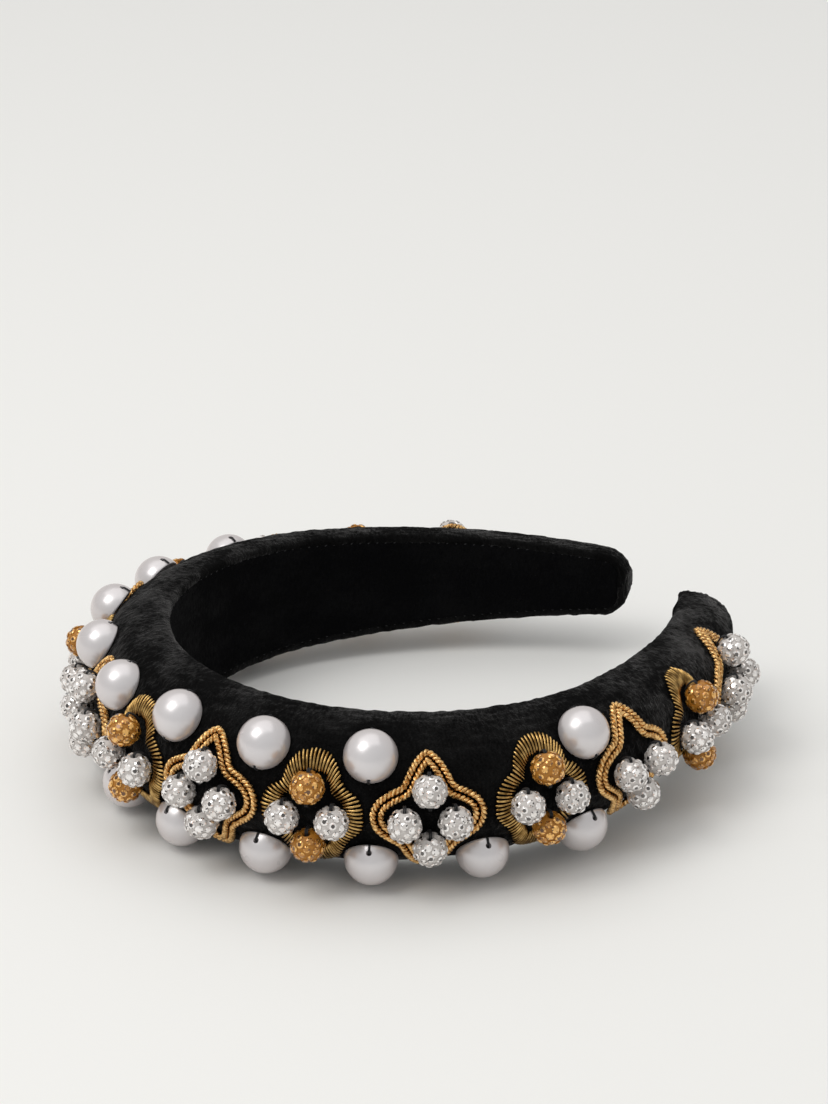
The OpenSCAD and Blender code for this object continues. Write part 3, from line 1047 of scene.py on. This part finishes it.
def paved_ball(ball, random):
    """Clay with stones pressed in, each facet given a painted reflection tone at random: some stones
    painted bright all over, some with a painted dark table, some in between.
    """
    points, facets, cut_count = stone()
    radius = BEAD_D / 2 - STONE_SINK
    parts = [(*ball, CLAY, None)]
    for spot in spots_on_ball(STONE_COUNT):
        if math.hypot(spot[0], spot[2]) * radius < BEAD_HOLE_D / 2 + STONE_R * 0.8:
            continue
        spot = unit(spot + random.normal(0, 0.02, 3))
        side = unit(np.cross(spot, unit(random.normal(0, 1, 3))))
        tilt = unit(spot + random.normal(0, 0.05, 3))
        side = unit(side - tilt * (side @ tilt))
        axes = np.stack([side, np.cross(tilt, side), tilt]) * random.uniform(0.80, 1.03)
        kind = random.choice(len(STONE_SHARES), p=STONE_SHARES)
        shades = random.choice([BRIGHT, MID, DARK, WARM], len(facets), p=CROWN_GLASS[kind])
        shades[0] = TABLE_GLASS[kind]
        shades[cut_count:] = CLAY
        parts.append((points @ axes + spot * radius, facets, shades, None))
    return joined(parts)


def spun(points, angle):
    """Points turned about the Y axis, which a bead's bore follows."""
    cos, sin = math.cos(angle), math.sin(angle)
    return points @ np.array([[cos, 0, -sin], [0, 1, 0], [sin, 0, cos]])


def bead_cluster(random, balls, centre, places):
    """One motif's beads of one colour, each a ball picked and spun at random."""
    parts = []
    for place in places:
        points, faces, shades, _ = balls[random.integers(len(balls))]
        turned = spun(points, random.uniform(0, 2 * math.pi))
        parts.append((placed(turned, *(centre + place), BEAD_D / 2 + GAP), faces, shades, None))
    return parts


def make_beads():
    random = np.random.default_rng(11)
    clay_core = clay_ball(BEAD_D / 2 - CLAY_SINK)
    balls = [paved_ball(clay_core, random) for _ in range(4)]
    for label, side, k in motifs():
        centre = motif_centre(side, k)
        clear = bead_cluster(random, balls, centre, cord_beads(side, k) if k % 2 else SIDE_BEADS)
        piece = mesh_object(f"clear_beads_{label}", clear, CRYSTAL, sharp_angle=12)
        settle(piece, "crystal_pave", f"crystals_{label}")
        if k % 2 == 0:
            topaz = bead_cluster(random, balls, centre, END_BEADS)
            piece = mesh_object(f"topaz_beads_{label}", topaz, TOPAZ, sharp_angle=12)
            settle(piece, "amber_pave", f"amber_{label}")


# ---- Gold cord motifs.

def even_turns(loop, inset, step):
    """Fractions of the outline that are evenly spaced along it."""
    t = np.linspace(0, 1, 400, endpoint=False)
    flat = shrunk(loop, t, inset)
    steps = np.linalg.norm(np.roll(flat, -1, 0) - flat, axis=1)
    length = np.concatenate([[0], np.cumsum(steps)])
    at = np.linspace(0, length[-1], round(length[-1] / step), endpoint=False)
    return np.interp(at, length, np.append(t, 1.0)), length[-1]


def twisted(centre, loop, inset):
    """Two plies wound round each other along the outline."""
    t, length = even_turns(loop, inset, PLY_PITCH / 12)
    flat = centre + shrunk(loop, t, inset)
    turns = round(length / PLY_PITCH)
    place, _, _, normal = surface_frame(flat[:, 0], flat[:, 1])
    path = place + normal * (PLY_R + PLY_SWING + GAP)
    run = unit(np.roll(path, -1, 0) - np.roll(path, 1, 0))
    beside = unit(np.cross(run, normal))
    parts = []
    for start in (0, math.pi):
        phase = start + 2 * math.pi * turns * np.arange(len(t)) / len(t)
        swing = np.cos(phase)[:, None] * beside + np.sin(phase)[:, None] * normal
        parts.append(tube(path + PLY_SWING * swing, normal, PLY_R, sides=8, closed=True))
    return parts


def make_cords():
    """Each motif is a two-ply cord laid round twice, one round inside the other."""
    for side in SIDES:
        loop = mirrored(CORD_OUTLINE, side)
        for k in CORD_MOTIFS:
            centre = motif_centre(side, k)
            parts = twisted(centre, loop, 0) + twisted(centre, loop, CORD_D + GAP)
            piece = mesh_object(f"gold_cord_{side}_{k}", parts, [CORD_GOLD])
            settle(piece, "gold_cord", f"cord_{side}_{k}")


# ---- Purl fringes.

def purl_tube(centre, root, tip):
    """One cut length of purl, arched over the velvet with both ends drawn down."""
    t = np.linspace(0, 1, 12)
    flat = centre + root + (tip - root) * t[:, None]
    lift = PURL_D / 2 + GAP * 0.5 + PURL_ARCH * np.sin(t * math.pi) ** 0.6
    place, _, _, normal = surface_frame(flat[:, 0], flat[:, 1])
    radius = PURL_D / 2 * np.where((t == 0) | (t == 1), PURL_END, 1.0)
    return tube(place + normal * lift[:, None], normal, radius, sides=8)


def make_purl():
    random = np.random.default_rng(23)
    for label, side, k in motifs():
        if k % 2:
            continue
        loop = mirrored(PURL_OUTLINE, side)
        parts = []
        for t in even_turns(loop, 0, PURL_STEP)[0]:
            reach = outline_at(loop, t + random.normal(0, PURL_SHIFT))
            tip = reach * random.normal(1.0, PURL_TIP_SPREAD)
            root = reach * (PURL_ROOT + random.normal(0, PURL_ROOT_SPREAD))
            parts.append(purl_tube(motif_centre(side, k), root, tip))
        settle(mesh_object(f"purl_fringe_{label}", parts, [PURL_GOLD]), "purl", f"purl_{label}")


# ---- Threads.

def strands(u, v, half_path, width):
    """Two strands side by side through a bore, from the velvet at one end to the velvet at the other."""
    half_path = np.array(half_path)
    mirror = np.array([1, -1, 1])
    path = np.concatenate([half_path[::-1] * mirror, half_path])
    place, run, across_way, normal = surface_frame(u, v)
    axes = np.stack([run, across_way, normal])
    return [
        tube(place + (path + (aside, 0, 0)) @ axes, np.broadcast_to(run, path.shape), width / 2, sides=6)
        for aside in (-width / 2, width / 2)
    ]


def pearl_stitch(u, v):
    """Out of the bore and down the pearl's side."""
    height = PEARL_HOLE_H + GAP
    radius = (PEARL_D + PEARL_STRAND_D) / 2
    inside = [(0.0, y, height) for y in (0, radius * 0.5, radius * 0.85)]
    levels = np.linspace(PEARL_HOLE_H - 0.3, 0.1, 7)
    down = [(0.0, math.sqrt(radius**2 - (z - PEARL_RISE) ** 2) + 0.04, z + GAP) for z in levels]
    return strands(u, v, inside + down, PEARL_STRAND_D)


def bead_stitch(u, v):
    """Out of the bore and round the bead's underside."""
    height = BEAD_D / 2 + GAP
    reach = (BEAD_D + BEAD_STRAND_D) / 2
    inside = [(0.0, y, height) for y in (0, reach * 0.5, reach * 0.86)]
    angles = np.linspace(0.1, 0.95, 9)
    hug = [(0.0, reach * math.cos(a), height - reach * math.sin(a)) for a in angles]
    return strands(u, v, inside + hug, BEAD_STRAND_D)


def make_threads():
    pearls = [
        strand for side in SIDES for k in PEARL_GAPS for place in pearl_places(side, k)
        for strand in pearl_stitch(*place)
    ]
    settle(mesh_object("pearl_stitches", pearls, [THREAD]), "thread", "pearl_thread")
    beads = []
    for _, side, k in motifs():
        for spot in cord_beads(side, k) if k % 2 else SIDE_BEADS + END_BEADS:
            beads += bead_stitch(*(motif_centre(side, k) + spot))
    settle(mesh_object("bead_stitches", beads, [THREAD]), "thread", "bead_thread")


# ---- The room: floor, lights and camera. Lengths here are in metres, and the lens is in millimetres.

FLOOR_HALF = 4.0
CAMERA_TARGET = (0.0711, -0.0558, -0.0004)
CAMERA_AHEAD = (0.7508, -0.5379, -0.3834)
CAMERA_DISTANCE = 0.9988
CAMERA_LENS = 107.95


def make_floor():
    low = cad_box[0][2]
    corners = [(x * FLOOR_HALF, y * FLOOR_HALF, low) for x, y in ((-1, -1), (1, -1), (1, 1), (-1, 1))]
    mesh = bpy.data.meshes.new("floor")
    mesh.from_pydata(corners, [], [(0, 1, 2, 3)])
    floor = bpy.data.objects.new("floor", mesh)
    bpy.context.scene.collection.objects.link(floor)
    finish = Finish("studio_floor")
    mesh.materials.append(finish.done(finish.principled(Base_Color=rgb(0.86, 0.86, 0.845), Roughness=0.7)))


def area_light(name, away, size, power, colour):
    """A square soft light that looks at the middle of the band."""
    data = bpy.data.lights.new(name, "AREA")
    data.size = size
    data.energy = power
    data.color = colour
    light = bpy.data.objects.new(name, data)
    light.location = away
    light.rotation_euler = (-Vector(away)).to_track_quat("-Z", "Y").to_euler()
    bpy.context.scene.collection.objects.link(light)


def make_lights():
    area_light("key_softbox", (0.1, 0.95, 1.35), 0.9, 8.0, (1.0, 0.985, 0.96))
    area_light("top_softbox", (0.4, -0.1, 2.6), 3.2, 21, (1.0, 0.99, 0.98))
    world = bpy.data.worlds.new("studio")
    world.use_nodes = True
    background = world.node_tree.nodes["Background"]
    background.inputs["Color"].default_value = rgb(1.0, 0.995, 0.98)
    background.inputs["Strength"].default_value = 0.60
    bpy.context.scene.world = world
    bpy.context.scene.view_settings.view_transform = "Standard"


def make_camera():
    """A long lens, a little above the band, that looks across the right leg."""
    ahead = Vector(CAMERA_AHEAD)
    data = bpy.data.cameras.new("camera")
    data.lens = CAMERA_LENS
    data.clip_end = 20
    camera = bpy.data.objects.new("camera", data)
    camera.location = Vector(CAMERA_TARGET) - ahead.normalized() * CAMERA_DISTANCE
    camera.rotation_euler = ahead.to_track_quat("-Z", "Y").to_euler()
    bpy.context.scene.collection.objects.link(camera)
    bpy.context.scene.camera = camera


def finish_hoop():
    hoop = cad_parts["hoop"]
    hoop.data.materials.clear()
    hoop.data.materials.append(spring_plastic())


make_camera()
make_lights()
make_floor()
finish_hoop()
make_foam()
make_cover()
make_lining()
make_seam()
make_pearls()
make_beads()
make_cords()
make_purl()
make_threads()
